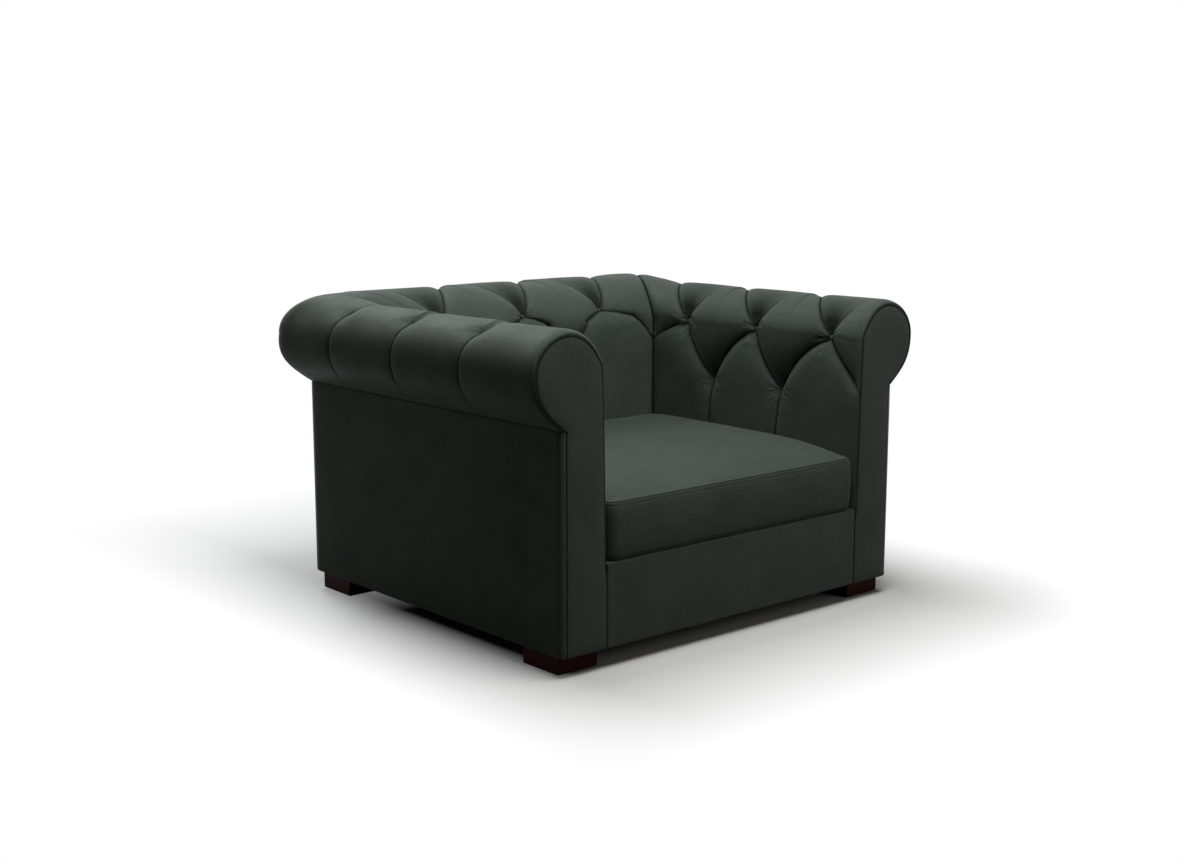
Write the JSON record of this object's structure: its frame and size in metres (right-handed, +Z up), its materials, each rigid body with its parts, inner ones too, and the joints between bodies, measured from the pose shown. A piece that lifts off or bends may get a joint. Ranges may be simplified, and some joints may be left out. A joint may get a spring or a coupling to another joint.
{
  "type": "chesterfield armchair",
  "caption": "Low Chesterfield armchair: rolled arms and back at one height, deep-tufted leather pads, loose box seat cushion, square block feet.",
  "frame": {"origin": "on the floor, at the centre of the underside of the whole chair's box", "axes": "+X from the chair's left arm as seen from the front to its right, -Y towards the front, +Z up"},
  "size_m": [1.1998, 1.0508, 0.74],
  "materials": {
    "leather": "dark green-grey leather with a fine grain and a soft sheen",
    "foam": "open-cell seat foam",
    "zip_tape": "woven zip tape with a fine coil",
    "zip_metal": "antique brass",
    "black_cloth": "thin non-woven black cloth",
    "felt": "pressed felt",
    "steel": "plain drawn wire",
    "foot_wood": "dark red-brown stained hardwood, satin lacquer",
    "glide_nylon": "moulded nylon",
    "frame_wood": "sawn hardwood and plywood",
    "fibreboard": "hardboard"
  },
  "bodies": {
    "chair": {"right_arm_pad": "leather", "left_arm_pad": "leather", "back_pad": "leather", "right_front_facing": "leather", "left_front_facing": "leather", "right_outside_panel": "leather", "left_outside_panel": "leather", "back_outside_panel": "leather", "front_rail_cover": "leather", "deck_pad": "foam", "right_arm_former": "foam", "left_arm_former": "foam", "back_former": "foam", "dust_cover": "black_cloth", "spring_insulator": "felt", "seat_spring_1": "steel", "seat_spring_2": "steel", "seat_spring_3": "steel", "seat_spring_4": "steel", "seat_spring_5": "steel", "hanger_bolt_front_right": "steel", "hanger_bolt_front_left": "steel", "hanger_bolt_rear_right": "steel", "hanger_bolt_rear_left": "steel", "foot_front_right": "foot_wood", "foot_front_left": "foot_wood", "foot_rear_right": "foot_wood", "foot_rear_left": "foot_wood", "glide_front_right": "glide_nylon", "glide_front_left": "glide_nylon", "glide_rear_right": "glide_nylon", "glide_rear_left": "glide_nylon", "corner_block_front_right": "frame_wood", "corner_block_front_left": "frame_wood", "corner_block_rear_right": "frame_wood", "corner_block_rear_left": "frame_wood", "front_rail": "frame_wood", "right_side_rail": "frame_wood", "left_side_rail": "frame_wood", "back_rail": "frame_wood", "rear_seat_rail": "frame_wood", "right_front_post": "frame_wood", "left_front_post": "frame_wood", "right_back_post": "frame_wood", "left_back_post": "frame_wood", "right_arm_plank": "frame_wood", "left_arm_plank": "frame_wood", "back_plank": "frame_wood", "right_arm_tack_rail": "frame_wood", "left_arm_tack_rail": "frame_wood", "back_tack_rail": "frame_wood", "back_upright": "frame_wood", "right_arm_lining": "fibreboard", "left_arm_lining": "fibreboard", "back_lining": "fibreboard"},
    "seat_cushion": {"cushion_cover": "leather", "cushion_core": "foam", "cushion_zip": "zip_tape"},
    "zip_slider": {"zip_slider": "zip_metal"}
  },
  "joints": [
    {"name": "cushion_lift", "type": "slide", "parent": "chair", "child": "seat_cushion", "axis": [0, 0, 1], "range_m": [0, 0.52]},
    {"name": "zip_run", "type": "slide", "parent": "seat_cushion", "child": "zip_slider", "axis": [-1, 0, 0], "range_m": [0, 0.57]}
  ]
}
